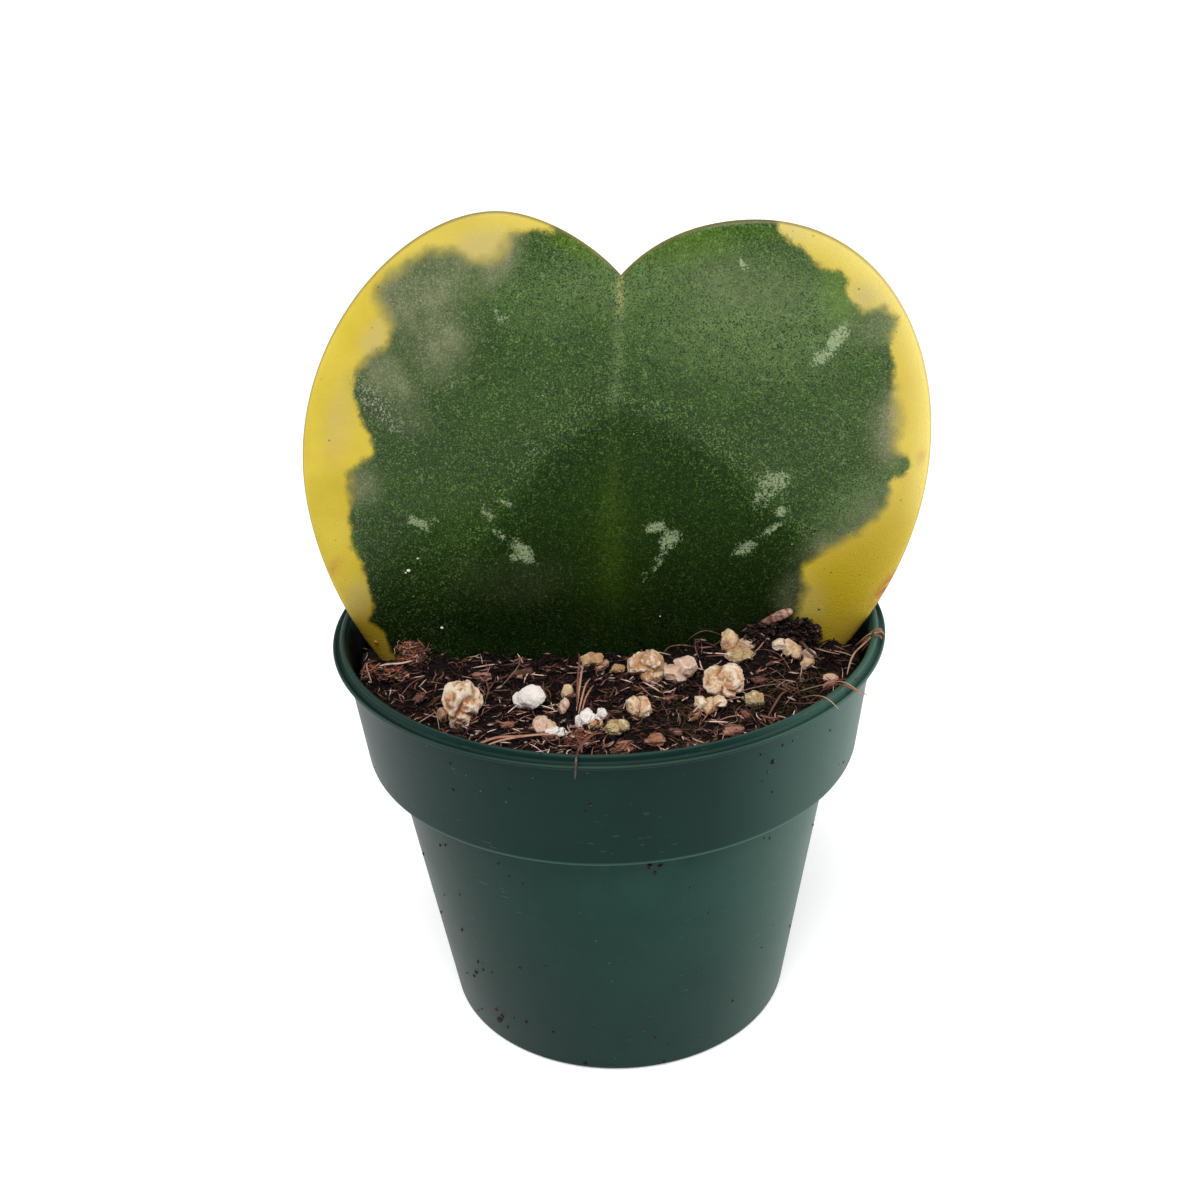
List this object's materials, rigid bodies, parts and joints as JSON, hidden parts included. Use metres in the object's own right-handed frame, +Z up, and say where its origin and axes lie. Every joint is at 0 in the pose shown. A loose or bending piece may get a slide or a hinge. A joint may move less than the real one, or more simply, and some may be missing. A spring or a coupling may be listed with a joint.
{
  "type": "potted hoya plant",
  "caption": "Heart-shaped hoya leaf with a yellow margin, rooted and standing in a small round plastic nursery pot of potting mix, as a free-standing house plant.",
  "frame": {"origin": "middle of the pot's underside, on the surface it stands on", "axes": "+Z up, along the pot's axis; the upper face of the leaf looks towards -Y, with its left lobe towards -X"},
  "size_m": [0.0967, 0.09, 0.1389],
  "materials": {
    "pot_plastic": "satin injection-moulded dark green plastic with light scuffs and specks of soil",
    "potting_mix": "rough dark brown peat and coir with pale perlite grains and bark chips",
    "leaf": "waxy semi-gloss leaf, dark green with a yellow margin and pale mineral spots"
  },
  "bodies": {
    "root": {"nursery_pot": "pot_plastic", "potting_mix": "potting_mix", "hoya_leaf": "leaf"}
  },
  "joints": []
}
